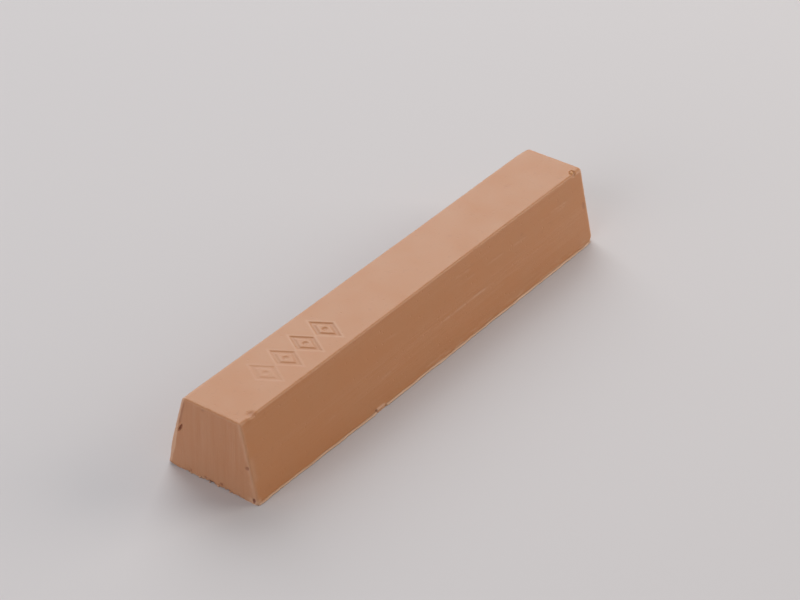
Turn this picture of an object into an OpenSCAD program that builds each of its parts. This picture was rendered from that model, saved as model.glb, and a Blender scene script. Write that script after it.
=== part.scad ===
// Furniture repair wax stick: one bar of hard filler wax, cast in an open mould.
// The narrow top, the long sides and the far end took their shape from the mould.
// The wide base is the poured face, scraped flat. The near end is cut across.
// The origin is at the middle of the base, +X runs from the cut end to the moulded end
// and +Z points up to the stamped top. Lengths are in millimetres.

/* [Bar] */
// Length of the bar
bar_length = 80; // [60:1:100]
// Width across the scraped base
base_width = 15.5; // [13:0.5:19]
// Width across the moulded top
top_width = 9.6; // [8:0.1:12]
// Height of the bar
bar_height = 11.5; // [9:0.5:16]

/* [Edges] */
// Radius of the long top edges at the cut end
top_edge_radius = 0.5; // [0.4:0.1:1.2]
// Radius of the upright and top edges of the moulded end
moulded_end_radius = 0.75; // [0.5:0.05:1]
// Bevel of the upright and top edges of the cut end
cut_end_bevel = 0.35; // [0.2:0.05:0.35]
// Height of the upright band that scraping leaves round the base
scraped_band_height = 0.4; // [0.3:0.05:0.6]

/* [Stamp] */
// How many lozenge marks are stamped in the top
mark_count = 4; // [1:1:6]
// Width of a mark, along the bar
mark_width = 3.5; // [2.4:0.1:4]
// Height of a mark, across the bar
mark_height = 5.4; // [4:0.1:6]
// Width of the line that the stamp pressed
mark_line_width = 0.55; // [0.3:0.05:0.6]
// Diameter of the dot inside a mark
mark_dot_diameter = 0.7; // [0.3:0.1:0.8]
// Depth of the pressed line and the dot
mark_depth = 0.15; // [0.1:0.05:0.6]
// Space between two marks
mark_space = 0.7; // [0.3:0.1:2]
// Distance from the cut end to the first mark
mark_from_end = 9; // [3:0.1:15]
// How far the row of marks lies to the front of the middle line
mark_offset = 0.2; // [0:0.1:0.8]

/* [Scraper burr] */
// How far the burr stands out from the base
burr_reach = 0.22; // [0.1:0.02:0.4]
// Height of the top of the burr above the ground
burr_height = 0.36; // [0.3:0.02:0.4]
// Clear height under the burr
burr_clear_height = 0.06; // [0:0.02:0.12]
// Thickness of the burr at its outer lip
burr_lip = 0.1; // [0.05:0.01:0.12]
// Distance from the moulded end at which the burr stops
burr_stop = 1.1; // [1.1:0.1:4]
// Length of the gap torn in the burr of the rear side
rear_gap_length = 1.6; // [0.5:0.1:4]
// Distance from the cut end to the middle of that gap
rear_gap_from_end = 46; // [10:1:50]

/* [Torn cut end] */
// Radius of the largest bite torn out of the lower edge
bite_radius = 0.3; // [0.2:0.05:0.6]
// Radius of the largest crumb that clings there
crumb_radius = 0.22; // [0.1:0.02:0.3]
// Thickness of the crumbs
crumb_depth = 0.14; // [0.1:0.02:0.3]
// Radius of the chip beside the lower front corner
chip_radius = 0.35; // [0.25:0.05:0.5]
// Height of the middle of that chip
chip_height = 0.3; // [0.2:0.05:0.5]
// Distance from the chip to the front side
chip_inset = 0.8; // [0.7:0.05:1.5]
// Length of the pit beside the rear edge
pit_length = 1.4; // [0.4:0.1:2]
// Radius of the pit
pit_radius = 0.22; // [0.1:0.02:0.4]
// Height of the middle of the pit
pit_height = 6.6; // [3:0.1:8]
// Distance from the pit to the rear side
pit_inset = 0.9; // [0.7:0.05:1.2]
// Angle by which the pit leans in from upright
pit_lean = 26; // [10:1:30]
// Length of the nick near the front edge
face_nick_length = 0.6; // [0.4:0.05:1]
// Depth of that nick
face_nick_depth = 0.15; // [0.1:0.05:0.3]
// Height of the middle of that nick
face_nick_height = 5.2; // [3:0.1:8]
// Distance from the nick to the front side
face_nick_inset = 0.95; // [0.9:0.05:1.5]

/* [Nicks along the front] */
// Length of the nick at the foot of the front side
foot_nick_length = 2; // [1:0.1:4]
// Height of that nick
foot_nick_height = 0.7; // [0.4:0.1:0.9]
// Depth of that nick
foot_nick_depth = 0.15; // [0.1:0.05:0.8]
// Distance from the cut end to the middle of that nick
foot_nick_from_end = 26; // [10:0.5:50]
// Length of the nick in the front top edge
top_nick_length = 1.2; // [0.5:0.1:2]
// Depth of that nick
top_nick_depth = 0.15; // [0.05:0.05:0.3]
// Distance from the cut end to the middle of that nick
top_nick_from_end = 2.7; // [2:0.1:8]

/* [Corner bead] */
// Radius of the bead of wax set in the front top edge
bead_radius = 0.4; // [0.2:0.05:0.5]
// Height of the middle of the bead above the floor of its socket
bead_lift = 0.1; // [0.05:0.05:0.1]
// Clearance round the bead in its socket
bead_clearance = 0.12; // [0.05:0.01:0.2]
// Depth of the socket, measured from the rounded edge
socket_depth = 0.5; // [0.3:0.05:0.6]
// Distance from the moulded end to the middle of the bead
bead_from_end = 2.3; // [2:0.1:5]
// Angle from upright at which the bead sits on the rounded edge
bead_facing = 18; // [10:1:40]

/* [Hidden] */

// The bar reaches from the cut end to the moulded end, with the origin half way
cut_end_x = -bar_length / 2;
moulded_end_x = bar_length / 2;
half_base = base_width / 2;
half_top = top_width / 2;
// Angle by which the long sides lean in above the scraped band
side_lean = atan((half_base - half_top) / (bar_height - scraped_band_height));
// Angle from upright at which the middle of a long top edge faces
edge_facing = (90 - side_lean) / 2;
// Distance from the middle of one mark to the middle of the next
mark_pitch = mark_width + mark_space;
// Shares of the half base width at which the lower edge is torn and where crumbs cling
bite_place_shares = [0.55, 0.36, 0.17, -0.04, -0.22, -0.5];
bite_size_shares = [0.7, 0.6, 1, 0.8, 0.9, 0.7];
crumb_place_shares = [0.46, 0.27, 0.06, -0.12, -0.37];
crumb_size_shares = [0.75, 1, 0.7, 0.9, 0.8];
// Sides of the bluntest crumb, and how many kinds of crumb there are
crumb_sides = 5;
crumb_kinds = 3;
// How far a cut runs past the surface that it cuts
overrun = 1;
// Facets of the rounded edges, and of everything else that is round
edge_facets = 32;
$fn = 48;

// Half width of the bar at height z, above the scraped band
function side_y(z) = half_base - (z - scraped_band_height) * tan(side_lean);
// Where a ball of radius r touches the leaning side from inside, at height z
function tucked_y(z, r) = side_y(z) - r / cos(side_lean);
// Radius of a ball that cuts a hollow of this length and depth in a flat face
function scoop_radius(length, depth) = (length * length / 4 + depth * depth) / (2 * depth);

module both_sides() {
    for (side = [0, 1]) mirror([0, side, 0]) children();
}

// The foot of the bar, as the scraper leaves it
module scraped_plate() {
    linear_extrude(scraped_band_height)
        hull() {
            polygon([
                [cut_end_x, cut_end_bevel - half_base],
                [cut_end_x + cut_end_bevel, -half_base],
                [cut_end_x + cut_end_bevel, half_base],
                [cut_end_x, half_base - cut_end_bevel]
            ]);
            both_sides()
                translate([moulded_end_x - moulded_end_radius, half_base - moulded_end_radius])
                    circle(moulded_end_radius, $fn = edge_facets);
        }
}

// One top corner of the cut end: the start of a rounded long edge, with its bevel
module cut_corner() {
    z = bar_height - top_edge_radius;
    translate([cut_end_x, tucked_y(z, top_edge_radius), z])
        rotate([0, 90, 0])
            cylinder(
                h = cut_end_bevel,
                r1 = top_edge_radius - cut_end_bevel,
                r2 = top_edge_radius,
                $fn = edge_facets
            );
}

// One rounded top corner of the moulded end
module moulded_corner() {
    z = bar_height - moulded_end_radius;
    translate([moulded_end_x - moulded_end_radius, tucked_y(z, moulded_end_radius), z])
        rotate([0, 90, 0])
            sphere(moulded_end_radius, $fn = edge_facets);
}

// The plain casting, before it is stamped or damaged
module bar_blank() {
    hull() {
        scraped_plate();
        both_sides() {
            cut_corner();
            moulded_corner();
        }
    }
}

// A lozenge with its side faces moved in by inset
module lozenge(inset) {
    w = mark_width / 2;
    h = mark_height / 2;
    kept_share = 1 - inset * sqrt(w * w + h * h) / (w * h);
    polygon([
        [-w * kept_share, 0],
        [0, -h * kept_share],
        [w * kept_share, 0],
        [0, h * kept_share]
    ]);
}

module stamp_mark() {
    linear_extrude(mark_depth + overrun) {
        difference() {
            lozenge(0);
            lozenge(mark_line_width);
        }
        circle(d = mark_dot_diameter);
    }
}

module stamped_row() {
    first_x = cut_end_x + mark_from_end + mark_width / 2;
    for (i = [0 : mark_count - 1])
        translate([first_x + i * mark_pitch, -mark_offset, bar_height - mark_depth])
            stamp_mark();
}

// Bites along the lower edge, where the cut tore instead of slicing
module torn_bites() {
    for (i = [0 : len(bite_place_shares) - 1])
        translate([cut_end_x, bite_place_shares[i] * half_base, 0])
            sphere(bite_radius * bite_size_shares[i]);
}

module corner_chip() {
    translate([cut_end_x, chip_inset - half_base, chip_height])
        sphere(chip_radius);
}

// A long pit in the cut face, beside the leaning rear edge
module end_pit() {
    translate([cut_end_x, side_y(pit_height) - pit_inset, pit_height])
        rotate([pit_lean, 0, 0])
            cylinder(h = pit_length, r = pit_radius, center = true);
}

// A nick in the cut face, near its upright front edge
module face_nick() {
    ball = scoop_radius(face_nick_length, face_nick_depth);
    translate([
        cut_end_x + face_nick_depth - ball,
        face_nick_inset - side_y(face_nick_height),
        face_nick_height
    ])
        sphere(ball);
}

// A nick in the foot of the front side, where the burr broke away
module foot_nick() {
    r = scoop_radius(foot_nick_length, foot_nick_height);
    translate([
        cut_end_x + foot_nick_from_end,
        foot_nick_depth - half_base,
        foot_nick_height - r
    ])
        rotate([90, 0, 0])
            cylinder(h = foot_nick_depth + burr_reach + overrun, r = r);
}

// Moves its children to the axis of the front top edge and turns +Z out through the edge
module on_front_top_edge(x, radius, facing) {
    z = bar_height - radius;
    translate([x, -tucked_y(z, radius), z])
        rotate([facing, 0, 0])
            children();
}

module top_nick() {
    ball = scoop_radius(top_nick_length, top_nick_depth);
    on_front_top_edge(cut_end_x + top_nick_from_end, top_edge_radius, edge_facing)
        translate([0, 0, top_edge_radius - top_nick_depth + ball])
            sphere(ball);
}

// Puts its children on the floor of the bead's socket
module on_socket_floor() {
    on_front_top_edge(moulded_end_x - bead_from_end, moulded_end_radius, bead_facing)
        translate([0, 0, moulded_end_radius - socket_depth])
            children();
}

module bead_socket() {
    on_socket_floor()
        cylinder(h = socket_depth + overrun, r = bead_radius + bead_clearance);
}

// The casting itself, stamped and with its damage
module wax_bar() {
    color("#c18d66")
        difference() {
            bar_blank();
            stamped_row();
            torn_bites();
            corner_chip();
            end_pit();
            face_nick();
            foot_nick();
            top_nick();
            bead_socket();
        }
}

// One run of burr along the front side, from one x to another
module burr_run(from_x, to_x) {
    translate([from_x, -half_base, 0])
        rotate([90, 0, 90])
            linear_extrude(to_x - from_x)
                polygon([
                    [0, burr_clear_height],
                    [0, burr_height],
                    [-burr_reach, burr_clear_height + burr_lip],
                    [-burr_reach, burr_clear_height]
                ]);
}

// The two runs of burr on one side, either side of a gap
module burr_with_gap(start_x, gap_x, gap_length) {
    burr_run(start_x, gap_x - gap_length / 2);
    burr_run(gap_x + gap_length / 2, moulded_end_x - burr_stop);
}

// The thin ribbon of wax that the scraper pushed out along the foot of both long sides
module base_burr() {
    color("#d3a482") {
        burr_with_gap(
            cut_end_x + cut_end_bevel,
            cut_end_x + foot_nick_from_end,
            foot_nick_length
        );
        mirror([0, 1, 0])
            burr_with_gap(
                cut_end_x + cut_end_bevel,
                cut_end_x + rear_gap_from_end,
                rear_gap_length
            );
    }
}

// Crumbs of wax that cling to the cut face between the torn bites
module end_crumbs() {
    color("#cf9f80")
        for (i = [0 : len(crumb_place_shares) - 1]) {
            r = crumb_radius * crumb_size_shares[i];
            translate([cut_end_x - crumb_depth, crumb_place_shares[i] * half_base, r])
                rotate([0, 90, 0])
                    cylinder(h = crumb_depth, r = r, $fn = crumb_sides + i % crumb_kinds);
        }
}

// A bead of wax that set in the mould before the pour reached it
module corner_bead() {
    color("#dcb38a")
        on_socket_floor()
            intersection() {
                translate([0, 0, bead_lift]) sphere(bead_radius);
                cylinder(h = bead_lift + bead_radius, r = bead_radius);
            }
}

wax_bar();
base_burr();
end_crumbs();
corner_bead();
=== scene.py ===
import math

import bmesh
import bpy
import numpy as np
from mathutils import Matrix, Vector, noise


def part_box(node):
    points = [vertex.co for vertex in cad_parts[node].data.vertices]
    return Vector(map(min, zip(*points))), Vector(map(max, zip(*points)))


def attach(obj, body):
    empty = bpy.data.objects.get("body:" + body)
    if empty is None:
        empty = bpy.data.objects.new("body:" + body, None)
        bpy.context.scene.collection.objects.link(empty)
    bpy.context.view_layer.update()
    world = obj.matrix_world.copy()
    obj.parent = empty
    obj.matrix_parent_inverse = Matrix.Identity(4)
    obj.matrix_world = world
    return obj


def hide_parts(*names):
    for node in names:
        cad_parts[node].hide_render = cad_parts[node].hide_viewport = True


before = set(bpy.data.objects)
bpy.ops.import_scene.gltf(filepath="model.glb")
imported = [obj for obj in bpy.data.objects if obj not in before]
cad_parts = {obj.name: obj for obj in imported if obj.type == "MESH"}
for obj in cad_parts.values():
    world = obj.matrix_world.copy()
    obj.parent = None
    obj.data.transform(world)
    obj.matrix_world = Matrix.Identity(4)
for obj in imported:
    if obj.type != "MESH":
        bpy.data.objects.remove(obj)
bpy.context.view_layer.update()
print("frame loaded with", ", ".join(sorted(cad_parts)))

mm = 0.001  # pieces are drawn in millimetres and written to Blender in metres
barLow, barHigh = (np.array(corner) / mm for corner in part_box("wax_bar"))


def smooth(low, high, value):
    t = np.clip((value - low) / (high - low), 0.0, 1.0)
    return t * t * (3 - 2 * t)


def bell(value, middle, width):
    return np.exp(-(((value - middle) / width) ** 2))


def stretch(span, value):
    # 1 along a stretch, given by where it starts, is full, begins to fade and stops
    start, full, fade, stop = span
    return smooth(start, full, value) * smooth(stop, fade, value)


def varied(values, usual, swing, least):
    # noise as a share of a size, up to the whole of it
    return np.clip(usual + swing * values, least, 1.0)


def noiseOn(points, lump, seed):
    # smooth noise between -1 and 1; lump is how far one swelling reaches along x, y and z
    shift = Vector((seed * 13.7, seed * 5.3, seed * 9.1))
    return np.array([noise.noise(Vector(p) + shift) for p in points / np.array(lump)])


def chain(marks):
    # places along a line, from a list of (place, step up to the next one)
    places = []
    for (start, step), (stop, _) in zip(marks, marks[1:]):
        count = max(1, round((stop - start) / step))
        places += [start + (stop - start) * i / count for i in range(count)]
    return places + [marks[-1][0]]


def meshPiece(name, points, faces):
    mesh = bpy.data.meshes.new(name)
    mesh.from_pydata([tuple(p * mm) for p in points], [], faces)
    mesh.shade_smooth()
    piece = bpy.data.objects.new(name, mesh)
    bpy.context.scene.collection.objects.link(piece)
    return piece


# The bar. Its length, base width and height come from the frame.
bar = {
    "topWidth": 9.6,  # across the moulded top
    "topEdge": 0.33,  # radius of the long top edges
    "nearEdge": 0.36,  # the same near the cut end, where they are more worn
    "nearFull": 5.0,  # distance from the cut end at which that is reached
    "cornerEdge": 0.5,  # and the same at the cut end's top corners
    "cornerReach": (0.5, 2.5),  # from the cut end: where that is full and where it ends
    "farEdge": 0.75,  # radius of the moulded end's upright edges
    "farDrop": 0.4,  # height of the rounding of its top edge
    "farFade": 3.0,  # length over which a top edge grows from one radius to the other
    "cutEdge": 0.35,  # radius of the cut end's upright and top edges
    "footEdge": 0.12,  # radius of the foot edges
    "cutLift": 0.08,  # how far the foot edge of the cut end clears the ground
    "farLift": 0.05,  # and that of the moulded end
    "frontDraw": 0.28,  # how far the front side is drawn in at the cut end
    "rearDraw": 0.34,  # how far the foot of the rear side is drawn in there
    "rearDrawTop": 4.5,  # height at which that ends
    "drawFade": 28.0,  # length over which both fade out
    "waist": 0.1,  # how far the top edges are drawn in half way along
    "rearFootRise": 0.3,  # how far the rear foot corner of the cut end is worn off
    "rearFootFrom": (5.8, 7.6),  # across the bar: where that starts and is full
    "rearFootReach": (1.2, 0.9),  # along the bar and upwards
    "farFootRound": 0.2,  # how far the moulded end's foot corners are rounded in
    "farFootFrom": (-1.9, -0.6),  # from the corner, along and across the bar together
    "farFootHeight": 0.95,
    "step": 0.22,  # spacing of the mesh round the bar
    "stepFoot": 0.08,  # the same up the lowest part of the sides
    "footBand": 0.4,  # height of that part
    "stepCut": 0.3,  # spacing along the bar, from the cut end to the stamp
    "stepStamp": 0.2,  # along the stamp
    "stepAlong": 0.5,  # from there on
    "stepFar": 0.25,  # and close to the moulded end
}
cutX, farX = barLow[0], barHigh[0]  # the cut end and the moulded end
length = farX - cutX
height = barHigh[2]
halfBase = barHigh[1]
lean = math.atan((halfBase - bar["topWidth"] / 2) / height)

# The stamped row: plain lozenges, each with a dot
stamp = {
    "width": 3.5,  # of one mark, along the bar
    "height": 5.4,  # across the bar
    "line": 0.55,  # width of the pressed line
    "dot": 0.35,  # radius of the dot
    "depth": 0.108,
    "wall": 0.36,  # how wide the soft wall of a line is
    "rim": 0.03,  # wax pushed up beside a line
    "rimWidth": 0.18,
    "innerRim": 0.5,  # height of the rim inside a line, as a share of the outer one
    "shade": 0.07,  # painted shade in the pressed lines
    "space": 0.7,  # between two marks
    "fromEnd": 9.0,  # from the cut end to the first mark
    "offset": -0.2,  # from the middle line of the top
    "strikes": (0.42, 0.74, 0.9, 1.0),  # how hard each mark was struck
}
stampStart = cutX + stamp["fromEnd"]
stampPitch = stamp["width"] + stamp["space"]
stampEnd = stampStart + len(stamp["strikes"]) * stampPitch - stamp["space"]


def halfWidthAt(z):
    return halfBase - z * math.tan(lean)


def drawIn(x):
    # share of its half width that the front side loses near the cut end
    return bar["frontDraw"] / halfBase * smooth(cutX + bar["drawFade"], cutX, x)


def rearDrawIn(x, z):
    # the same for the rear side, which is drawn in at the foot alone
    nearCut = smooth(cutX + bar["drawFade"], cutX, x)
    return bar["rearDraw"] / halfBase * nearCut * smooth(bar["rearDrawTop"], 0, z)


def section(side, up, inset, topInset, footInset, topRadius, footRadius):
    # one cross section; side is a share from -1 to 1 across the bar, up one from 0 to 1
    slopeCos, slopeSin = math.cos(lean), math.sin(lean)
    topZ = height - topInset
    z = footInset + up * (topZ - footInset)
    y = np.abs(side) * (halfWidthAt(z) - inset / slopeCos)
    corners = ((topRadius, topZ - topRadius, 1), (footRadius, footInset + footRadius, -1))
    for radius, cornerZ, sign in corners:
        cornerY = halfWidthAt(cornerZ) - (inset + radius) / slopeCos
        offY, offZ = y - cornerY, z - cornerZ
        alongSide = slopeCos * offZ - slopeSin * offY
        outOfSide = slopeCos * offY + slopeSin * offZ
        inCorner = (offY > 0) & (sign * alongSide > 0)
        share = np.maximum(sign * offZ, outOfSide) / np.maximum(np.hypot(offY, offZ), 1e-6)
        y = np.where(inCorner, cornerY + offY * share, y)
        z = np.where(inCorner, cornerZ + offZ * share, z)
    return np.sign(side) * y, z


def barColumns():
    # places along the bar, each with how far the section is drawn in by the end's rounding
    cut, far = bar["cutEdge"], bar["farEdge"]
    cutTurns, farTurns = 4, 7
    columns = []
    for i in range(cutTurns):
        turn = math.pi / 2 * i / cutTurns
        columns.append((cutX + cut * (1 - math.cos(turn)), cut * (1 - math.sin(turn))))
    body = chain([
        (cutX + cut, bar["stepCut"]),
        (stampStart - stamp["space"], bar["stepStamp"]),
        (stampEnd + stamp["space"], bar["stepAlong"]),
        (farX - 4 * far, bar["stepFar"]),
        (farX - far, 0),
    ])
    columns += [(x, 0.0) for x in body]
    for i in range(1, farTurns + 1):
        turn = math.pi / 2 * i / farTurns
        columns.append((farX - far + far * math.sin(turn), far * (1 - math.cos(turn))))
    return columns


def barLattice():
    halfTop = bar["topWidth"] / 2
    edge = bar["topEdge"]
    fine = edge / 5  # spacing over a rounded top edge
    outwards = np.array(chain([(0, bar["step"]), (halfTop - edge, fine), (halfTop, 0)])) / halfTop
    across = np.concatenate([-outwards[:0:-1], outwards])
    upwards = np.array(chain([
        (0, bar["stepFoot"]),
        (bar["footBand"], bar["step"]),
        (height - 1.2 * edge, fine),
        (height, 0),
    ])) / height
    nAcross, nUp = len(across), len(upwards)
    loop = [(j, 0) for j in range(nAcross)]
    loop += [(nAcross - 1, k) for k in range(1, nUp)]
    loop += [(j, nUp - 1) for j in range(nAcross - 2, -1, -1)]
    loop += [(0, k) for k in range(nUp - 2, 0, -1)]
    allNodes = [(j, k) for j in range(nAcross) for k in range(nUp)]

    points, number = [], {}
    thin = 0.03  # the least radius that an edge keeps where its end is rounded
    cornerFull, cornerStop = bar["cornerReach"]
    columns = barColumns()
    for i, (x, inset) in enumerate(columns):
        atEnd = i in (0, len(columns) - 1)
        nodes = allNodes if atEnd else loop
        toFar = smooth(farX - bar["farFade"], farX - bar["farEdge"], x)
        toCut = smooth(cutX + bar["drawFade"], cutX + bar["nearFull"], x)
        toCorner = smooth(cutX + cornerStop, cutX + cornerFull, x)
        topRadius = bar["topEdge"] + (bar["farEdge"] - bar["topEdge"]) * toFar
        topRadius += (bar["nearEdge"] - bar["topEdge"]) * toCut
        topRadius += (bar["cornerEdge"] - bar["nearEdge"]) * toCorner
        end = "far" if x > 0 else "cut"
        edge, lift = bar[end + "Edge"], bar[end + "Lift"]
        topInset = inset * (bar["farDrop"] / edge if x > 0 else 1)
        footInset = lift * inset / edge
        topRadius = max(topRadius - inset, thin)
        side = np.array([across[j] for j, k in nodes])
        up = np.array([upwards[k] for j, k in nodes])
        y, z = section(side, up, inset, topInset, footInset, topRadius, bar["footEdge"])
        waist = bar["waist"] / halfTop * math.cos(math.pi * x / length) * z / height
        y = y * (1 - np.where(y < 0, drawIn(x), rearDrawIn(x, z)) - waist)
        for node, py, pz in zip(nodes, y, z):
            number[(i, *node)] = len(points)
            points.append((x, py, pz))

    faces = []
    for i in range(len(columns) - 1):
        for a, b in zip(loop, loop[1:] + loop[:1]):
            square = ((i, *a), (i, *b), (i + 1, *b), (i + 1, *a))
            faces.append([number[node] for node in square])
    last = len(columns) - 1
    for j in range(nAcross - 1):
        for k in range(nUp - 1):
            square = [(j, k), (j, k + 1), (j + 1, k + 1), (j + 1, k)]
            faces.append([number[(0, *node)] for node in square])
            faces.append([number[(last, *node)] for node in reversed(square)])
    return np.array(points), faces


def refine(shape, inRegion, cuts):
    # finer faces where their middle passes the test
    edges = set()
    for face in shape.faces:
        if inRegion(face.calc_center_median() / mm):
            edges.update(face.edges)
    bmesh.ops.subdivide_edges(shape, edges=list(edges), cuts=cuts, use_grid_fill=True)


def within(low, high):
    # a test for a place inside a box
    return lambda place: all(a < v < b for a, v, b in zip(low, place, high))


# Damage and marks on the bar. Places are in the frame, in millimetres.
frontFoot = -halfBase
damage = {
    "pit": {
        "place": (cutX, 5.2, 6.6),
        "lean": 26,  # degrees from upright
        "long": 0.85,  # half its length
        "wide": 0.23,  # half its width
        "depth": 0.3,
        "shade": 0.85,  # painted shade in it
        "light": (0.05, 0.22, 0.45),  # a lighter stretch of that painted shade: place along it, half length, share
    },
    # a dent that flattened the foot edge and pressed it out as far as the burr reaches
    "footDent": {
        "from": 24.9,
        "to": 27.1,
        "fadeIn": (-0.1, 0.3),  # measured inwards from either end
        "fadeOut": (-0.1, 0.5),
        "across": 0.6,
        "height": 0.75,
        "full": 0.15,  # height up to which it is pressed out in full
        "out": 0.15,
        # painted highlight on the flattened facet
        "pale": 0.45,
    },
    # dips in the torn foot edge of the cut end: place across, half its length, depth
    "dips": (
        (4.25, 0.32, 0.11), (1.35, 0.25, 0.08), (0.35, 1.05, 0.16), (0.05, 0.36, 0.06),
        (-1.35, 0.95, 0.06), (-1.85, 0.2, 0.07), (-2.55, 0.5, 0.15), (-4.25, 0.28, 0.06),
    ),
    "dipShade": 1.5,  # painted shade of a dip for each millimetre of its depth
    # small hollows, raised places (depth below zero) and marks: place, reach, depth, and painted
    # shade
    "spots": (
        ((cutX, 5.32, 7.06), (0.3, 0.3, 0.35), -0.08, 0.0),
        ((cutX, -5.7, 5.1), (0.3, 0.34, 0.34), 0.1, 0.55),
        ((cutX, -6.78, 0.5), (0.35, 0.27, 0.42), 0.18, 0.9),
        ((cutX + 25.0, -7.7, 0.45), (0.28, 0.4, 0.25), 0.06, 0.6),
        ((cutX, -1.5, 0.6), (0.2, 0.3, 0.34), 0.08, 0.55),
        ((cutX, 1.15, 0.5), (0.2, 0.28, 0.2), 0.08, 0.5),
        ((cutX, 3.6, 0.5), (0.2, 0.2, 0.3), 0.06, 0.4),
        ((cutX + 2.7, -4.3, 11.4), (0.75, 0.7, 0.4), 0.12, 0.2),
        ((cutX + 2.1, -4.85, 11.3), (1.0, 0.5, 0.5), -0.1, 0.0),
        ((cutX, 1.35, 11.05), (0.3, 0.35, 0.3), 0.06, 0.2),
        ((farX - 1.2, -6.25, 6.05), (0.5, 0.5, 0.8), 0.02, 0.28),
        ((farX - 27.6, -0.1, height), (0.6, 0.4, 0.3), 0.0, 0.1),
        ((farX - 11.5, 0.95, height), (0.7, 0.5, 0.3), 0.01, 0.07),
        ((farX - 17.1, -5.6, 8.6), (0.6, 0.4, 0.35), 0.01, 0.14),
    ),
}
# Fine scratches on the front side: x from the cut end and height at both ends, and how strong
scratches = {
    "lines": (
        ((40.0, 5.2), (55.2, 5.15), 1.0), ((46.6, 8.25), (51.6, 8.2), 0.4),
        ((53.4, 8.15), (58.4, 8.05), 0.5), ((60.4, 8.0), (64.0, 7.95), 0.4),
        ((46.4, 9.55), (50.3, 9.3), 0.4), ((70.0, 8.65), (75.2, 8.5), 1.0),
        ((71.6, 8.1), (74.4, 8.1), 0.6), ((67.6, 8.5), (70.2, 8.25), 0.4),
        ((60.0, 5.1), (63.2, 5.15), 0.4), ((28.4, 8.6), (32.5, 8.3), 0.3),
        ((26.4, 3.85), (31.8, 4.2), 0.45), ((15.6, 3.9), (17.4, 4.0), 0.4),
    ),
    "width": 0.14,
    "depth": 0.02,
    # painted shade on the upper wall of each groove
    "shade": 0.07,
    "apart": 0.8,  # of groove and lip from the middle, as a share of the width
    "pale": 0.37,  # painted highlight on the lower lip, which faces the light
    "taper": 0.25,  # share of its length over which a line fades at either end
    "breaks": (0.75, 0.8, 0.2),  # strength along a line: usual, how much it varies, least
}
# The cut end's upright edges: a raised strip at the rear and a worn edge in front, both with
# painted highlights.
# A span is four heights: where it starts, is full, begins to fade and stops.
cutRim = {
    "fromEnd": (0.6, 0.3),  # along the bar: where the marks of both edges start and are full
    "wobble": 0.12,  # how far both edges wander
    "strip": 0.42,  # width of the pale strip at the top
    "stripLow": 0.75,  # and near the foot
    "stripWidens": (7.0, 3.5),  # between these heights
    "stripSoft": 0.1,  # half the width of its soft inner edge
    "raise": 0.04,
    "groove": 0.05,  # depth of the line beside the upper part of the strip
    "grooveWidth": 0.16,
    "grooveSpan": (7.0, 7.6, 10.6, 11.2),
    # painted shade in that line
    "grooveShade": 0.35,
    "bevel": 0.12,  # how far the front edge is worn back half way up
    "bevelReach": 0.6,
    "bevelSpan": (2.8, 3.6, 6.0, 6.8),
    "patch": (0.5, 0.5),  # the painted highlight on the bevel: place from the cut end and width
    "band": (0.2, 0.3),  # place of the painted highlight band, from the front edge, and its width
    "bandLow": (0.2, 0.15),  # added to these near the foot
    "bandWidens": (4, 1),
    "bandPales": (4.5, 3),
    "flakes": (0.6, 0.9),  # place of the flakes at the foot, from the front edge, and width
    "flakesUp": (0.35, 0.45),  # their height and its spread
    "flakesFromEnd": (0.9, 0.5),
}
# The torn foot edge of the cut end
tornFoot = {
    "height": 0.6,
    "full": 0.1,  # height up to which it is torn in full
    "reach": 0.9,  # from the cut end
    # painted shade in the ragged notches
    "shade": 0.45,
    "dipHeight": 0.1,  # of the middle of a dip
    "dipReach": (0.5, 0.4),  # how far a dip reaches along the bar and upwards
    "hang": 0.25,  # how far the flakes beside the front corner stand out
    "hangPlace": (-6.3, 1.0),  # across the bar, and width
    "hangHeight": (0.5, 0.2),
    "hangReach": 0.6,
}
# General wear. A lump is how far one mark reaches along x, y and z, and the part of the noise
# between the two values in shows turns into marks.
wear = {
    "swell": {"lump": (15, 6, 6), "seed": 1, "depth": 0.03, "lessOnTop": 0.8},
    "unevenness": {"lump": (2.2, 1.6, 1.6), "seed": 2, "depth": 0.008},
    "sideGrooves": {"lump": (11, 0.5, 0.5), "seed": 3, "shows": (0.15, 0.5), "depth": 0.012},
    "baseLines": {"lump": (26, 0.55, 9), "seed": 4, "shows": (0.0, 0.5), "depth": 0.05},
    "cutLines": {"lump": (9, 0.5, 7), "seed": 5, "shows": (0.0, 0.45), "depth": 0.035},
    "edgeDents": {"lump": (0.9, 0.7, 0.7), "seed": 6, "shows": (0.1, 0.6), "depth": 0.035},
    "raggedFoot": {"lump": (0.5, 0.3, 0.25), "seed": 7, "shows": (0.0, 0.5), "depth": 0.07},
    "rimWander": {"lump": (9, 9, 1.1), "seed": 8},
    "flecks": {"lump": (0.5, 0.45, 0.2), "seed": 9, "shows": (0.15, 0.4)},
    "footScuffs": {"lump": (2.4, 0.5, 0.26), "seed": 10, "shows": (0.05, 0.45)},
    "brokenLines": {"lump": (1.6, 2, 2), "seed": 12},
}
# How pale the painted highlights and the worn places show, from 0 to 1
paleness = {
    "strip": 0.8,  # painted highlight on the rear edge of the cut end
    "band": 0.33,  # painted highlight on its front edge
    "bandFoot": 0.07,  # added to that near the foot
    "patch": 0.3,  # painted highlight on the worn stretch half way up the front edge
    "pushed": 0.3,  # painted highlight on wax pushed up beside the stamp
    "farEdges": 0.6,  # painted highlight on the moulded end's upright edges
    "farTop": 0.25,  # painted highlight on its top edge
    "farTopCorner": 0.25,  # more painted highlight near the front corner of that edge
    "rearTop": 0.25,  # painted highlight on the long rear top edge
    "rearTopCut": 0.3,  # added to that at the cut end
    "lowEnd": 0.13,  # the lower part of the cut face
    "footScuffs": 0.4,  # scuffs above the burr
    "flecks": 0.7,  # flecks on the torn foot edge
}
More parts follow.
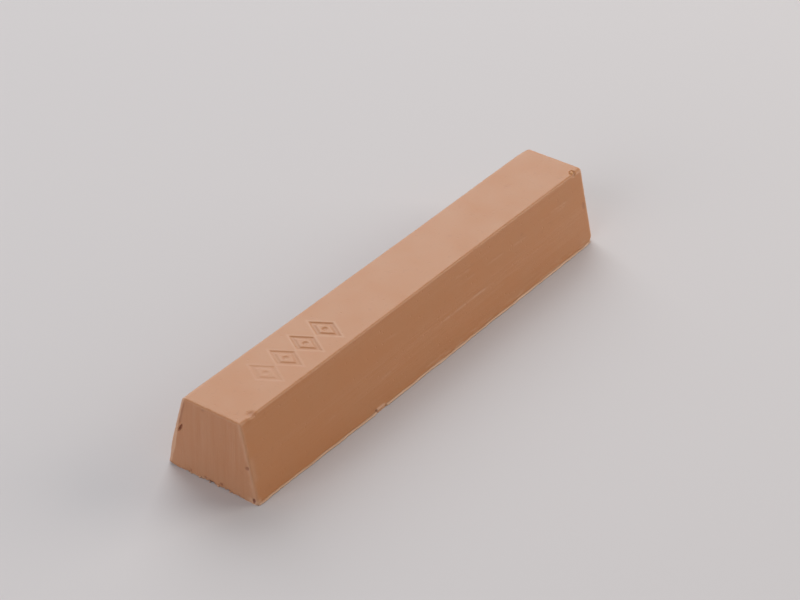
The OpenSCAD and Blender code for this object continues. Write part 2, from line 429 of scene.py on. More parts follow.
# Where some of them start and are full
paleReach = {
    "lowEnd": (4.5, 0.5),  # heights
    "scuffsUp": (1.3, 0.6),
    "scuffsAlong": (18, 34),  # from the cut end
    "rearTop": (-0.45, -0.2),  # across, from the edge of the top
    "rearTopCut": 1.2,  # its spread along the bar
    "farCorner": (-4.6, 0.9),  # the stronger painted highlight at the far top corner: place across and spread
}
# Upright streaks on the cut face: strength all over, and more at two places across it
streaks = {"everywhere": 0.5, "places": ((0.9, 0.8), (-4.5, 0.4)), "width": 1.5}
# The bead set in the front top edge, and the hollow round it
bead = {
    "fromEnd": 2.05,  # from the moulded end
    "facing": 3,  # degrees from upright
    "radii": (0.58, 0.3, 0.42),  # along its long axis, across it and upright
    "turn": 35,  # degrees from the bar's length to the long axis
    "roughness": 0.08,
    "gap": 0.26,  # width of the hollow round it
    "depth": 0.16,  # of that hollow
    "shade": 0.2,  # painted shade in it
    "shift": (-0.2, -0.24, -0.06),  # of the hollow from the bead, so that it opens to the front
}


def beadPlace(sunk=0):
    # a point on the rounded front top edge, or sunk below it, towards the axis of its rounding
    facing, radius = math.radians(bead["facing"]), bar["farEdge"]
    x, out, axisZ = farX - bead["fromEnd"], radius - sunk, height - radius
    axisY = halfWidthAt(axisZ) - radius / math.cos(lean)
    return np.array([x, -axisY - out * math.sin(facing), axisZ + out * math.cos(facing)])


def beadAxes():
    turn = math.radians(bead["turn"])
    c, s = math.cos(turn), math.sin(turn)
    return np.array([[c, s, 0], [-s, c, 0], [0, 0, 1]])


def hollowAt(points, place, reach, depth, wall=0.55):
    gap = np.linalg.norm((points - np.array(place)) / np.array(reach), axis=1)
    return depth * (1 - smooth(wall, 1.0, gap))


def stampHollow(points):
    x, y, z = points.T
    halfW, halfH = stamp["width"] / 2, stamp["height"] / 2
    line, wall = stamp["line"], stamp["wall"] / 2
    hollow, rim = np.zeros(len(x)), np.zeros(len(x))
    for i, strike in enumerate(stamp["strikes"]):
        middle = stampStart + halfW + i * stampPitch
        u, v = x - middle, y - stamp["offset"]
        inside = (halfW * halfH - np.abs(u) * halfH - np.abs(v) * halfW) / math.hypot(halfW, halfH)
        ring = smooth(-wall, wall, inside) * (1 - smooth(line - wall, line + wall, inside))
        dot = 1 - smooth(stamp["dot"] - wall, stamp["dot"] + wall, np.hypot(u, v))
        hollow += strike * np.maximum(ring, dot)
        width = stamp["rimWidth"]
        innerRim = stamp["innerRim"] * bell(inside, line + width, width)
        rim += strike * (bell(inside, -width, width) + innerRim)
    onTop = smooth(height - 0.1, height - 0.02, z)
    return hollow * onTop, rim * onTop


def noiseOf(points, name):
    return noiseOn(points, wear[name]["lump"], wear[name]["seed"])


def wearMarks(points, name):
    # where one kind of wear shows, from 0 to 1
    return smooth(*wear[name]["shows"], noiseOf(points, name))


def scratchMarks(points):
    # grooves on the front side, and the lower lip of each, which gets a painted highlight
    x, y, z = points.T
    width = scratches["width"]
    groove, lip = np.zeros(len(x)), np.zeros(len(x))
    broken = varied(noiseOf(points, "brokenLines"), *scratches["breaks"])
    taper, apart = scratches["taper"], scratches["apart"] * width
    for (startX, startZ), (stopX, stopZ), strength in scratches["lines"]:
        share = np.clip((x - cutX - startX) / (stopX - startX), 0, 1)
        past = np.abs(x - cutX - startX - share * (stopX - startX))
        off = z - startZ - share * (stopZ - startZ)
        fade = strength * broken * stretch((0, taper, 1 - taper, 1), share)
        fade *= (past == 0) & (y < 0)
        groove += fade * bell(off, apart, width)
        lip += fade * bell(off, -apart, width)
    return groove, lip


def faceMasks(normals):
    # the face that each point lies on, told from its normal
    nx, ny, nz = normals.T
    sideCos = math.cos(lean)
    flat = np.max([np.abs(nx), nz, -nz, np.abs(ny) * sideCos + nz * math.sin(lean)], axis=0)
    return {
        "cutFace": smooth(0.5, 0.95, -nx),
        "scraped": smooth(0.6, 0.95, -nz),
        "topFace": smooth(0.7, 0.95, nz),
        "longSide": smooth(0.6, 0.9, np.abs(ny) / sideCos),
        "rim": 1 - smooth(0.9, 0.995, flat),
    }


def generalWear(points, face):
    # how far the surface moves out where nothing in particular happened to it
    swell = wear["swell"]["depth"] * (1 - wear["swell"]["lessOnTop"] * face["topFace"])
    out = swell * noiseOf(points, "swell")
    out += wear["unevenness"]["depth"] * noiseOf(points, "unevenness")
    for name, where in (
        ("sideGrooves", "longSide"),
        ("baseLines", "scraped"),
        ("cutLines", "cutFace"),
        ("edgeDents", "rim"),
    ):
        out -= wear[name]["depth"] * face[where] * wearMarks(points, name)
    return out


def pitMasks(points):
    # inside the pit of the cut end, and the painted shade there
    pit = damage["pit"]
    pitLean = math.radians(pit["lean"])
    lightPlace, lightReach, lightShare = pit["light"]
    fromPit = points - np.array(pit["place"])
    along = fromPit @ np.array([0, -math.sin(pitLean), math.cos(pitLean)])
    beside = np.sqrt(np.maximum((fromPit ** 2).sum(axis=1) - along ** 2, 0))
    inPit = 1 - smooth(0.5, 1.0, np.hypot(along / pit["long"], beside / pit["wide"]))
    return inPit, pit["shade"] * inPit * (1 - lightShare * bell(along, lightPlace, lightReach))


def cutEdges(points, normals):
    # the cut end's upright edges: how far they move out, the painted shade in their groove, and
    # their painted highlights and pale flakes
    x, y, z = points.T
    sideCos = math.cos(lean)
    fromEnd = x - cutX
    fromRear = (halfWidthAt(z) - y) * sideCos
    fromFront = (halfWidthAt(z) * (1 - drawIn(cutX)) + y) * sideCos
    onEnd = smooth(*cutRim["fromEnd"], fromEnd)
    wobble = cutRim["wobble"] * noiseOf(points, "rimWander")

    soft = cutRim["stripSoft"]
    widening = (cutRim["stripLow"] - cutRim["strip"]) * smooth(*cutRim["stripWidens"], z)
    stripWidth = cutRim["strip"] + widening
    strip = onEnd * (1 - smooth(-soft, soft, fromRear - stripWidth - wobble))
    groove = onEnd * bell(fromRear, stripWidth + soft, cutRim["grooveWidth"])
    groove *= stretch(cutRim["grooveSpan"], z)

    midway = stretch(cutRim["bevelSpan"], z)
    fromEdge = np.hypot(np.maximum(fromFront, 0), fromEnd)
    bevel = midway * bell(fromEdge, 0, cutRim["bevelReach"]) * (y < 0)
    patch = midway * bell(fromEnd, *cutRim["patch"]) * smooth(-0.5, -0.8, normals[:, 1])
    low = smooth(*cutRim["bandWidens"], z)
    place, width = (at + more * low for at, more in zip(cutRim["band"], cutRim["bandLow"]))
    band = onEnd * bell(fromFront, place + wobble, width)
    bandPale = paleness["band"] + paleness["bandFoot"] * smooth(*cutRim["bandPales"], z)
    flakes = bell(fromFront, *cutRim["flakes"]) * bell(z, *cutRim["flakesUp"])

    out = cutRim["raise"] * strip - cutRim["groove"] * groove - cutRim["bevel"] * bevel
    return out, cutRim["grooveShade"] * groove, np.max([
        paleness["strip"] * strip,
        bandPale * band,
        paleness["patch"] * patch,
        smooth(*cutRim["flakesFromEnd"], fromEnd) * flakes,
    ], axis=0)


def tornEdge(points):
    # the torn foot edge: how far it moves out, its painted shade, and its pale flecks
    x, y, z = points.T
    out, dark = np.zeros(len(x)), np.zeros(len(x))
    along, up = tornFoot["dipReach"]
    for place, halfLength, depth in damage["dips"]:
        middle = (cutX, place, tornFoot["dipHeight"])
        dip = hollowAt(points, middle, (along, halfLength, up), depth, 0.2)
        out -= dip
        dark = np.maximum(dark, damage["dipShade"] * dip)
    hanging = smooth(*tornFoot["hangHeight"], z) * smooth(cutX + tornFoot["hangReach"], cutX, x)
    hanging *= bell(y, *tornFoot["hangPlace"])
    torn = smooth(tornFoot["height"], tornFoot["full"], z) * (1 - hanging)
    torn *= smooth(cutX + tornFoot["reach"], cutX, x)
    ragged = torn * wearMarks(points, "raggedFoot")
    out += tornFoot["hang"] * hanging - wear["raggedFoot"]["depth"] * ragged
    dark = np.maximum(dark, tornFoot["shade"] * ragged)
    return out, dark, torn * wearMarks(points, "flecks")


def footDent(points):
    # how far the dented stretch of the foot edge is pressed out, and its painted highlight
    x, y, z = points.T
    dent = damage["footDent"]
    fromStart, fromStop = x - cutX - dent["from"], cutX + dent["to"] - x
    dented = smooth(*dent["fadeIn"], fromStart) * smooth(*dent["fadeOut"], fromStop)
    dented *= y < frontFoot + dent["across"]
    out = dent["out"] * dented * smooth(dent["height"], dent["full"], z)
    return out, dent["pale"] * dented * smooth(dent["height"], dent["height"] - 0.15, z)


def socketMask(points):
    # inside the hollow round the bead
    socket = beadPlace() + np.array(bead["shift"])
    reach = np.array(bead["radii"]) + bead["gap"]
    return hollowAt((points - socket) @ beadAxes().T, (0, 0, 0), reach, 1.0, 0.6)


def palePlaces(points, normals, face, pushed, lip):
    # painted highlights on the other edges, on wax pushed up and on the scratches' lips, the paler
    # foot of the cut face, and pale scuffs; nx and nz tell the edges
    x, y, z = points.T
    nx, nz = normals[:, 0], normals[:, 2]
    farEdges = stretch((0.0, 0.25, 0.8, 0.98), nx) * smooth(0.7, 0.3, np.abs(nz))
    farTop = smooth(0.02, 0.3, nx) * smooth(0.3, 0.6, nz)
    rearTop = smooth(*paleReach["rearTop"], y - bar["topWidth"] / 2) * smooth(0.5, 0.8, nz)
    atCut, atFarCorner = bell(x, cutX, paleReach["rearTopCut"]), bell(y, *paleReach["farCorner"])
    scuffs = wearMarks(points, "footScuffs") * smooth(*paleReach["scuffsUp"], z)
    scuffs *= smooth(*paleReach["scuffsAlong"], x - cutX) * (y < 0)
    return np.max([
        paleness["pushed"] * pushed,
        scratches["pale"] * face["longSide"] * lip,
        paleness["farEdges"] * farEdges,
        (paleness["farTop"] + paleness["farTopCorner"] * atFarCorner) * farTop,
        (paleness["rearTop"] + paleness["rearTopCut"] * atCut) * rearTop,
        paleness["lowEnd"] * face["cutFace"] * smooth(*paleReach["lowEnd"], z),
        paleness["footScuffs"] * face["longSide"] * scuffs,
    ], axis=0)


def carve(points, normals):
    # how far each point moves out along its normal, with masks for the material
    face = faceMasks(normals)
    scratched, lip = scratchMarks(points)
    pressed, pushed = stampHollow(points)
    inPit, pitShade = pitMasks(points)
    edgeOut, edgeShade, edgePale = cutEdges(points, normals)
    tornOut, tornShade, flecks = tornEdge(points)
    dentOut, dentPale = footDent(points)
    inSocket = socketMask(points)

    out = generalWear(points, face) + edgeOut + tornOut + dentOut
    out -= scratches["depth"] * face["longSide"] * scratched
    out += stamp["rim"] * pushed - stamp["depth"] * pressed
    out -= damage["pit"]["depth"] * inPit + bead["depth"] * inSocket
    # painted shade: in the stamp's lines, the scratches, the pit, the groove, the dips, the spots
    # and round the bead
    lineShade = scratches["shade"] * face["longSide"] * scratched
    shades = [stamp["shade"] * pressed, lineShade, pitShade, edgeShade, tornShade]
    hollow = np.max(shades, axis=0)
    for place, reach, depth, shade in damage["spots"]:
        push = hollowAt(points, place, reach, 1.0)
        out -= depth * push
        hollow = np.maximum(hollow, shade * push)

    # painted highlights and pale worn marks, taken away where the painted shade is strong
    pale = np.maximum(edgePale, palePlaces(points, normals, face, pushed, lip))
    pale = np.maximum(pale, paleness["flecks"] * flecks) * (1 - smooth(0.1, 0.5, hollow))
    across = points[:, 1]
    more = sum(s * bell(across, place, streaks["width"]) for place, s in streaks["places"])
    return out, {
        **{name: face[name] for name in ("cutFace", "longSide", "rim")},
        "hollow": np.maximum(hollow, bead["shade"] * inSocket),
        "pale": np.maximum(pale, dentPale),
        "streaked": face["cutFace"] * (streaks["everywhere"] + more),
    }


# Where the bar's mesh is finer than elsewhere
fineMesh = {
    "margin": 0.4,  # how far a finer patch reaches past its mark
    "cutEnd": 0.8,  # how far from the cut end its edges are finer
    "cutRim": 1.5,  # width of the finer rim round the cut face
    "foot": 1.2,  # height of the finer foot
    "pit": (0.8, 1.0),  # half the width and half the height of the patch at the pit
    "socket": 1.1,  # radius of the patch at the bead
}


def refineBar(shape):
    margin, foot, far = fineMesh["margin"], fineMesh["foot"], math.inf
    halfRow = stamp["height"] / 2 + margin
    refine(shape, within(
        (stampStart - stamp["space"], stamp["offset"] - halfRow, height - 0.1),
        (stampEnd + stamp["space"], stamp["offset"] + halfRow, far),
    ), 1)
    refine(shape, lambda place: place.x < cutX + fineMesh["cutEnd"] and (
        place.z < foot or abs(place.y) > halfWidthAt(place.z) - fineMesh["cutRim"]
    ), 1)
    _, pitY, pitZ = damage["pit"]["place"]
    halfWide, halfHigh = fineMesh["pit"]
    refine(shape, within(
        (-far, pitY - halfWide, pitZ - halfHigh),
        (cutX + 0.3, pitY + halfWide, pitZ + halfHigh),
    ), 1)
    socket = Vector(beadPlace())
    refine(shape, lambda place: (place - socket).length < fineMesh["socket"], 2)
    for start, stop, _ in scratches["lines"]:
        lowZ, highZ = sorted((start[1], stop[1]))
        refine(shape, within(
            (cutX + start[0], -far, lowZ - margin),
            (cutX + stop[0], 0, highZ + margin),
        ), 2)
    dent = damage["footDent"]
    refine(shape, within(
        (cutX + dent["from"] - margin, -far, -far),
        (cutX + dent["to"] + margin, frontFoot + 1, foot),
    ), 1)


def roundFeet(points):
    # the cut end's rear foot corner is worn off, and the moulded end's foot corners are round
    x, y, z = points.T
    along, up = bar["rearFootReach"]
    rearFoot = smooth(*bar["rearFootFrom"], y) * smooth(up, 0, z) * smooth(cutX + along, cutX, x)
    fromCorner = x - farX + np.abs(y) - halfBase
    farFoot = smooth(*bar["farFootFrom"], fromCorner) * smooth(bar["farFootHeight"], 0, z)
    inwards = bar["farFootRound"] * farFoot
    rise = bar["rearFootRise"] * rearFoot
    return np.stack([x - inwards, y - inwards * np.sign(y), np.maximum(z, 0) + rise], axis=1)


def makeBar():
    points, faces = barLattice()
    piece = meshPiece("waxBar", points, faces)
    shape = bmesh.new()
    shape.from_mesh(piece.data)
    refineBar(shape)
    shape.to_mesh(piece.data)
    shape.free()

    count = len(piece.data.vertices)
    flatPoints, flatNormals = np.empty(count * 3), np.empty(count * 3)
    piece.data.vertices.foreach_get("co", flatPoints)
    piece.data.vertices.foreach_get("normal", flatNormals)
    points, normals = flatPoints.reshape(-1, 3) / mm, flatNormals.reshape(-1, 3)
    out, masks = carve(points, normals)
    points = np.clip(roundFeet(points + normals * out[:, None]), barLow, barHigh)
    piece.data.vertices.foreach_set("co", (points * mm).ravel())
    for name, values in masks.items():
        layer = piece.data.attributes.new(name, "FLOAT", "POINT")
        layer.data.foreach_set("value", np.clip(values, 0.0, 1.0).astype(np.float32))
    piece.data.shade_smooth()
    piece.data.update()
    print("bar meshed with", len(piece.data.polygons), "faces")
    return piece


# The burr along the foot of both long sides
burr = {
    "reach": 0.2,  # how far it stands out
    "height": 0.33,  # of its top edge above the ground
    "clear": 0.08,  # space under it
    "lip": 0.06,  # thickness at the outer edge
    "root": 0.12,  # how far it reaches into the bar
    "step": 0.25,  # spacing of its sections
    "longSwell": 3.5,  # length of its long swellings
    "shortSwell": 0.7,  # and of its short ones
    "shortShare": 0.6,  # size of the short ones against the long ones
    "topSwell": 2.4,  # length over which its height changes
    "seeds": (11, 14, 17),  # of the three swellings
    "reachVaries": (0.75, 0.5, 0.3),  # share of the reach: usual, how much it varies, least
    "heightVaries": (0.9, 0.3, 0.6),
    "taper": 0.4,  # length over which a torn end thins out
    "farTaper": 2.2,  # the same at the moulded end
    "blunt": 0.3,  # how far past its end a run would thin out to nothing
    "endReach": 0.3,  # share of its reach that a run has left there
    "front": ((0.1, 24.95), (27.05, 78.95)),  # runs, from the cut end
    "rear": ((0.4, 45.2), (46.8, 78.95)),
}


def burrSizes(places, side):
    # how far one run stands out and how high it is at each place
    spine = np.stack([places, np.full(len(places), side * halfBase), 0 * places], axis=1)
    longSwell, shortSwell, topSwell = (
        noiseOn(spine, (burr[name], 1, 1), seed + side)
        for name, seed in zip(("longSwell", "shortSwell", "topSwell"), burr["seeds"])
    )
    swell = longSwell + burr["shortShare"] * shortSwell
    stopTaper = burr["farTaper"] if places[-1] > farX - 2 else burr["taper"]
    ends = smooth(-burr["blunt"], burr["taper"], places - places[0])
    ends *= smooth(-burr["blunt"], stopTaper, places[-1] - places)
    left = burr["endReach"] + (1 - burr["endReach"]) * ends
    reach = burr["reach"] * varied(swell, *burr["reachVaries"]) * left
    return reach, burr["height"] * varied(topSwell, *burr["heightVaries"])


def burrSection(x, side, reach, top):
    # one section, from the lower root round the lip to the upper root
    foot = halfBase * (1 - (drawIn(x) if side < 0 else rearDrawIn(x, 0.2)))
    root, clear = foot - burr["root"], burr["clear"]
    lipTop = clear + burr["lip"]
    ring = (
        (root, clear),
        (foot + 0.7 * reach, clear),
        (foot + reach, clear + 0.3 * burr["lip"]),
        (foot + reach, lipTop),
        (foot + 0.55 * reach, lipTop + 0.5 * (top - lipTop)),
        (foot, top),
        (root, top + 0.02),
    )
    return [(x, side * y, z) for y, z in ring]


def makeBurr():
    points, faces = [], []
    for side, runs in ((-1, burr["front"]), (1, burr["rear"])):
        for start, stop in runs:
            places = np.array(chain([(cutX + start, burr["step"]), (cutX + stop, 0)]))
            first = len(points)
            for x, reach, top in zip(places, *burrSizes(places, side)):
                section = burrSection(x, side, reach, top)
                points += section
            n = len(section)
            for i in range(len(places) - 1):
                a, b = first + i * n, first + (i + 1) * n
                for m in range(n):
                    quad = [a + m, a + (m + 1) % n, b + (m + 1) % n, b + m]
                    faces.append(quad if side > 0 else quad[::-1])
            startCap = list(range(first, first + n))
            endCap = list(range(len(points) - n, len(points)))
            faces.append(startCap[::-1] if side > 0 else startCap)
            faces.append(endCap if side > 0 else endCap[::-1])
    return meshPiece("baseBurr", np.array(points), faces)


# Crumbs on the torn lower edge of the cut end
crumbs = {
    "places": (3.56, 2.09, 0.47, -0.93, -2.87),
    "radii": (0.18, 0.2, 0.11, 0.2, 0.13),
    "depth": 0.13,  # how far they stand out of the cut face
    "proud": 0.02,  # how far their middles lie outside it
    "up": 0.95,  # height of their middles as a share of the radius
    "flatness": 0.8,  # height and depth as a share of the width
    "roughness": 0.35,
}


def blob(middle, radii, seed, roughness):
    # a lumpy ball, as points and faces
    shape = bmesh.new()
    bmesh.ops.create_icosphere(shape, subdivisions=3, radius=1)
    points = np.array([v.co for v in shape.verts])
    faces = [[v.index for v in face.verts] for face in shape.faces]
    shape.free()
    lumps = 1 + roughness * noiseOn(points, (0.8, 0.8, 0.8), seed)
    return points * lumps[:, None] * np.array(radii) + np.array(middle), faces


def makeCrumbs():
    points, faces = [], []
    for i, (place, radius) in enumerate(zip(crumbs["places"], crumbs["radii"])):
        middle = (cutX - crumbs["proud"], place, radius * crumbs["up"])
        radii = (crumbs["depth"] * crumbs["flatness"], radius, radius * crumbs["flatness"])
        more, moreFaces = blob(middle, radii, 21 + i, crumbs["roughness"])
        more[:, 2] = np.maximum(more[:, 2], 0)
        more[:, 0] = np.maximum(more[:, 0], cutX - crumbs["depth"])
        faces += [[len(points) + v for v in face] for face in moreFaces]
        points += list(more)
    return meshPiece("endCrumbs", np.array(points), faces)


def makeBead():
    points, faces = blob((0, 0, 0), bead["radii"], 31, bead["roughness"])
    points = points @ beadAxes() + beadPlace(bead["radii"][2])
    points[:, 2] = np.minimum(points[:, 2], height)
    return meshPiece("cornerBead", points, faces)


waxBar, baseBurr, endCrumbs, cornerBead = makeBar(), makeBurr(), makeCrumbs(), makeBead()
print("pieces made")


def putNode(tree, kind, settings=(), values=()):
    # a tree's nodes stand in columns of five, in the order they are made
    node = tree.nodes.new(kind)
    column, row = divmod(len(tree.nodes) - 1, 5)
    node.location = (240 * column, -300 * row)
    for name, value in dict(settings).items():
        setattr(node, name, value)
    for name, value in dict(values).items():
        node.inputs[name].default_value = value
    return node


def newGroup(name, inputs, outputs):
    group = bpy.data.node_groups.new(name, "ShaderNodeTree")
    for direction, sockets in (("INPUT", inputs), ("OUTPUT", outputs)):
        for socket, kind in sockets.items():
            kind = "NodeSocket" + kind
            group.interface.new_socket(socket, in_out=direction, socket_type=kind)
    given = putNode(group, "NodeGroupInput")
    return group, given, putNode(group, "NodeGroupOutput")


def waxCloudsGroup():
    # soft blotches and small specks of pigment
    group, given, result = newGroup(
        "waxClouds",
        {"Vector": "Vector", "Blotches Per Metre": "Float", "Specks Per Metre": "Float"},
        {"Clouds": "Float", "Specks": "Float"},
    )
    link = group.links.new
    for density, detail, roughness, low, high, name in (
        ("Blotches Per Metre", 3.0, 0.55, 0.3, 0.7, "Clouds"),
        ("Specks Per Metre", 2.0, 0.6, 0.62, 0.78, "Specks"),
    ):
        grain = {"Detail": detail, "Roughness": roughness}
        texture = putNode(group, "ShaderNodeTexNoise", values=grain)
        spread = putNode(group, "ShaderNodeMapRange", values={"From Min": low, "From Max": high})
        link(given.outputs["Vector"], texture.inputs["Vector"])
        link(given.outputs[density], texture.inputs["Scale"])
        link(texture.outputs["Fac"], spread.inputs["Value"])
        link(spread.outputs["Result"], result.inputs[name])
    return group


def dragLinesGroup():
    # fine lines left by the mould or a blade; Stretch squeezes the vector across the lines
    group, given, result = newGroup(
        "dragLines",
        {"Vector": "Vector", "Stretch": "Vector", "Patchiness": "Float"},
        {"Lines": "Float"},
    )
    link = group.links.new
    squeeze = putNode(group, "ShaderNodeVectorMath", {"operation": "MULTIPLY"})
    grain = {"Scale": 1.0, "Detail": 5.0, "Roughness": 0.7}
    lines = putNode(group, "ShaderNodeTexNoise", values=grain)
    sharpen = putNode(group, "ShaderNodeMapRange", values={"From Min": 0.38, "From Max": 0.68})
    patches = putNode(group, "ShaderNodeTexNoise", values={"Scale": 0.12, "Detail": 1.0})
    fade = putNode(group, "ShaderNodeMapRange", values={"From Min": 0.35, "From Max": 0.65})
    keep = putNode(group, "ShaderNodeMix", {"data_type": "FLOAT"}, {"A": 1.0})
    weigh = putNode(group, "ShaderNodeMath", {"operation": "MULTIPLY"})
    link(given.outputs["Vector"], squeeze.inputs[0])
    link(given.outputs["Stretch"], squeeze.inputs[1])
    for texture, spread in ((lines, sharpen), (patches, fade)):
        link(squeeze.outputs["Vector"], texture.inputs["Vector"])
        link(texture.outputs["Fac"], spread.inputs["Value"])
    link(given.outputs["Patchiness"], keep.inputs["Factor"])
    link(fade.outputs["Result"], keep.inputs["B"])
    link(sharpen.outputs["Result"], weigh.inputs[0])
    link(keep.outputs["Result"], weigh.inputs[1])
    link(weigh.outputs["Value"], result.inputs["Lines"])
    return group


def finePoresGroup():
    # pin holes where air met the mould
    group, given, result = newGroup(
        "finePores",
        {"Vector": "Vector", "Pores Per Metre": "Float", "Width": "Float"},
        {"Pores": "Float"},
    )
    link = group.links.new
    cells = putNode(group, "ShaderNodeTexVoronoi", values={"Randomness": 1.0})
    inside = putNode(group, "ShaderNodeMath", {"operation": "DIVIDE", "use_clamp": True})
    flip = putNode(group, "ShaderNodeMath", {"operation": "SUBTRACT", "use_clamp": True})
    flip.inputs[0].default_value = 1.0
    link(given.outputs["Vector"], cells.inputs["Vector"])
    link(given.outputs["Pores Per Metre"], cells.inputs["Scale"])
    link(cells.outputs["Distance"], inside.inputs[0])
    link(given.outputs["Width"], inside.inputs[1])
    link(inside.outputs["Value"], flip.inputs[1])
    link(flip.outputs["Value"], result.inputs["Pores"])
    return group


waxClouds, dragLines, finePores = waxCloudsGroup(), dragLinesGroup(), finePoresGroup()

# Colours are linear. The finishes differ in how much thin, freshly torn wax they show.
waxFinish = {
    "waxCast": {
        "body": (0.478, 0.200, 0.074),
        "warm": (0.486, 0.194, 0.067),
        # the pale colour is for worn marks and painted highlights, the dark one below for specks
        # and painted shade
        "pale": (0.620, 0.370, 0.240),
        "darkSpeckAndShade": (0.210, 0.060, 0.026),
        "cut": (0.466, 0.206, 0.098),
        # painted highlight along all edges
        "rimHighlight": 0.15,
        "roughness": 0.46,
        "bump": 0.00005,
    },
    "waxThin": {
        "body": (0.602, 0.355, 0.222),
        "warm": (0.570, 0.315, 0.180),
        # the pale colour is for worn marks and painted highlights, the dark one below for specks
        # and painted shade
        "pale": (0.720, 0.490, 0.350),
        "darkSpeckAndShade": (0.300, 0.110, 0.050),
        "cut": (0.640, 0.385, 0.245),
        # painted highlight along all edges
        "rimHighlight": 0.2,
        "roughness": 0.42,
        "bump": 0.00003,
    },
}
waxFinish["waxBead"] = {
    **waxFinish["waxThin"],
    "body": (0.600, 0.310, 0.120),
    "warm": (0.540, 0.250, 0.085),
}
# What all finishes share: textures, how much of each shows as colour and relief, and scatter
waxTexture = {
    "clouds": {"Blotches Per Metre": 160.0, "Specks Per Metre": 1600.0},
    "lengthwise": {"Stretch": (90, 2600, 2600), "Patchiness": 0.95},
    "upright": {"Stretch": (900, 1700, 70), "Patchiness": 0.5},
    "pores": {"Pores Per Metre": 900.0, "Width": 0.16},
    "shows": {"lengthwise": 0.12, "upright": 0.28, "specks": 0.12},
    "relief": {"lengthwise": 0.3, "upright": 1.0, "pores": -0.5},
    "roughnessSpread": 0.03,
    "scatter": {
        "Subsurface Weight": 0.12,
        "Subsurface Radius": (1.0, 0.5, 0.3),
        "Subsurface Scale": 0.0008,
    },
}


def makeWax(name):
    finish = waxFinish[name]
    shows, reliefs = waxTexture["shows"], waxTexture["relief"]
    material = bpy.data.materials.new(name)
    material.use_nodes = True
    tree = material.node_tree
    tree.nodes.clear()
    link = tree.links.new
    coords = putNode(tree, "ShaderNodeTexCoord")

    def group(which, values):
        node = putNode(tree, "ShaderNodeGroup", {"node_tree": which}, values)
        link(coords.outputs["Object"], node.inputs["Vector"])
        return node

    def mask(attribute):
        node = putNode(tree, "ShaderNodeAttribute", {"attribute_name": attribute})
        return node.outputs["Fac"]

    def combined(value, factor, operation="MULTIPLY"):
        # two values multiplied, or added
        node = putNode(tree, "ShaderNodeMath", {"operation": operation})
        link(value, node.inputs[0])
        if isinstance(factor, float):
            node.inputs[1].default_value = factor
        else:
            link(factor, node.inputs[1])
        return node.outputs["Value"]

    clouds = group(waxClouds, waxTexture["clouds"])
    lengthwise = group(dragLines, waxTexture["lengthwise"])
    upright = group(dragLines, waxTexture["upright"])
    pores = group(finePores, waxTexture["pores"])
    alongLines = combined(lengthwise.outputs["Lines"], mask("longSide"))
    uprightLines = combined(upright.outputs["Lines"], mask("streaked"))

    # the layers of colour over the body's, from the lowest up; the pale layers hold worn marks and
    # painted highlights, the dark ones specks and painted shade
    colour = finish["body"]
    for layer, shown in (
        ("warm", clouds.outputs["Clouds"]),
        ("cut", mask("cutFace")),
        ("pale", combined(alongLines, shows["lengthwise"])),
        ("pale", combined(uprightLines, shows["upright"])),
        ("pale", combined(mask("rim"), finish["rimHighlight"])),
        ("pale", mask("pale")),
        ("darkSpeckAndShade", combined(clouds.outputs["Specks"], shows["specks"])),
        ("darkSpeckAndShade", mask("hollow")),
    ):
        mix = putNode(tree, "ShaderNodeMix", {"data_type": "RGBA"})
        link(shown, mix.inputs["Factor"])
        under, over = mix.inputs[6], mix.inputs[7]
        over.default_value = (*finish[layer], 1)
        if layer == "warm":
            under.default_value = (*colour, 1)
        else:
            link(colour, under)
        colour = mix.outputs[2]

    spread = waxTexture["roughnessSpread"]
    roughness = putNode(tree, "ShaderNodeMapRange", values={
        "To Min": finish["roughness"] - spread,
        "To Max": finish["roughness"] + spread,
    })
    link(clouds.outputs["Clouds"], roughness.inputs["Value"])

    relief = combined(alongLines, reliefs["lengthwise"])
    relief = combined(relief, combined(uprightLines, reliefs["upright"]), "ADD")
    relief = combined(relief, combined(pores.outputs["Pores"], reliefs["pores"]), "ADD")
    depth = {"Strength": 1.0, "Distance": finish["bump"]}
    bump = putNode(tree, "ShaderNodeBump", values=depth)
    link(relief, bump.inputs["Height"])

    light = {"IOR": 1.5, **waxTexture["scatter"]}
    shader = putNode(tree, "ShaderNodeBsdfPrincipled", values=light)
    output = putNode(tree, "ShaderNodeOutputMaterial")
    link(colour, shader.inputs["Base Color"])
    link(roughness.outputs["Result"], shader.inputs["Roughness"])
    link(bump.outputs["Normal"], shader.inputs["Normal"])
    link(shader.outputs["BSDF"], output.inputs["Surface"])
    return material


waxCast, waxThin, waxBead = (makeWax(name) for name in waxFinish)
for piece, node, material, slot in (
    (waxBar, "wax_bar", waxCast, "wax"),
    (baseBurr, "base_burr", waxThin, "wax_thin"),
    (endCrumbs, "end_crumbs", waxThin, "wax_thin"),
    (cornerBead, "corner_bead", waxBead, "wax_thin"),
):
    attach(piece, "root")
    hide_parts(node)
    piece.data.materials.append(material)
print("wax finished")

# The studio: a plain pale floor, soft light from behind, weak fills in front and a pale surround
studio = {
    "floorSize": 3.0,
    "floorColour": (0.655, 0.625, 0.635),
    "floorRoughness": 0.8,
    "floorShine": 0.15,
    "surround": (0.98, 0.98, 1.0),
    "surroundLight": 0.25,
    # each lamp: place, size, power and colour
    "lamps": {
        "windowLight": ((0.62, 0.66, 0.70), 1.0, 10.5, (0.97, 1.0, 1.0)),
        "sideFill": ((0.50, -0.40, 0.22), 0.48, 2.5, (1.0, 0.93, 0.83)),
        "endFill": ((-0.62, 0.06, 0.28), 0.5, 1.75, (1.0, 1.0, 1.0)),
    },
}


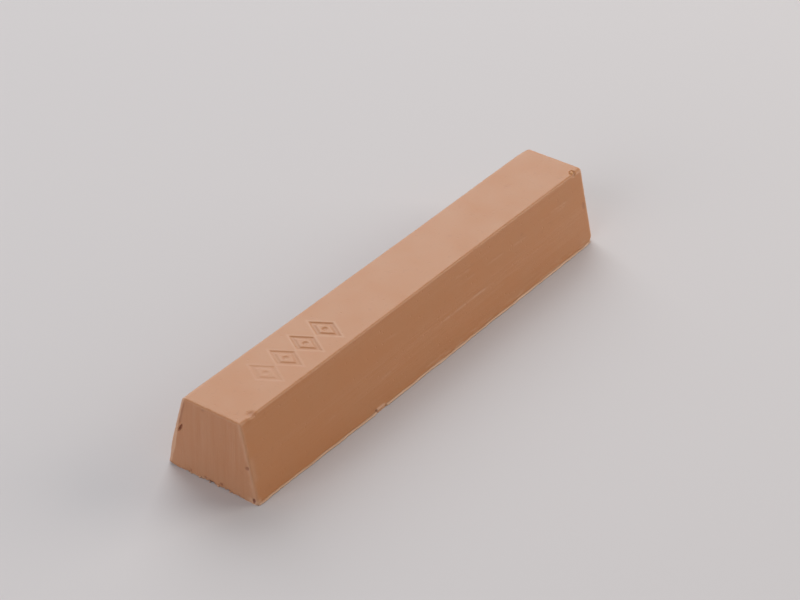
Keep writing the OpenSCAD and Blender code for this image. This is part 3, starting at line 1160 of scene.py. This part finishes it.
def makeStudio():
    half = studio["floorSize"] / 2
    corners = [(-half, -half, 0), (half, -half, 0), (half, half, 0), (-half, half, 0)]
    floor = meshPiece("floor", np.array(corners) / mm, [[0, 1, 2, 3]])
    surface = bpy.data.materials.new("paleFloor")
    surface.use_nodes = True
    shader = surface.node_tree.nodes["Principled BSDF"]
    shader.inputs["Base Color"].default_value = (*studio["floorColour"], 1)
    shader.inputs["Roughness"].default_value = studio["floorRoughness"]
    shader.inputs["Specular IOR Level"].default_value = studio["floorShine"]
    floor.data.materials.append(surface)

    world = bpy.data.worlds.new("surround")
    world.use_nodes = True
    sky = world.node_tree.nodes["Background"]
    sky.inputs["Color"].default_value = (*studio["surround"], 1)
    sky.inputs["Strength"].default_value = studio["surroundLight"]
    bpy.context.scene.world = world

    for name, (place, size, power, colour) in studio["lamps"].items():
        light = bpy.data.lights.new(name, "AREA")
        light.size, light.energy, light.color = size, power, colour
        holder = bpy.data.objects.new(name, light)
        holder.location = place
        holder.rotation_euler = (-holder.location).to_track_quat("-Z", "Y").to_euler()
        bpy.context.scene.collection.objects.link(holder)


# The camera of the photo, worked out from the bar's own edges
shot = {
    "place": (-0.22086, -0.15408, 0.18775),
    "turn": 34.805,  # degrees from +X towards +Y
    "down": 33.843,
    "roll": 1.693,
    "lens": 105.73,
    "sensor": 36.0,
}


def makeCamera():
    camera = bpy.data.cameras.new("photoCamera")
    camera.sensor_fit = "HORIZONTAL"
    camera.sensor_width, camera.lens = shot["sensor"], shot["lens"]
    camera.clip_start = 0.01
    holder = bpy.data.objects.new("photoCamera", camera)
    aim = Matrix.Rotation(math.radians(shot["turn"] - 90), 4, "Z")
    aim = aim @ Matrix.Rotation(math.radians(90 - shot["down"]), 4, "X")
    aim = aim @ Matrix.Rotation(math.radians(shot["roll"]), 4, "Z")
    holder.matrix_world = Matrix.Translation(shot["place"]) @ aim
    bpy.context.scene.collection.objects.link(holder)
    bpy.context.scene.camera = holder


makeStudio()
makeCamera()
bpy.context.scene.view_settings.view_transform = "Standard"
print("studio and camera set")
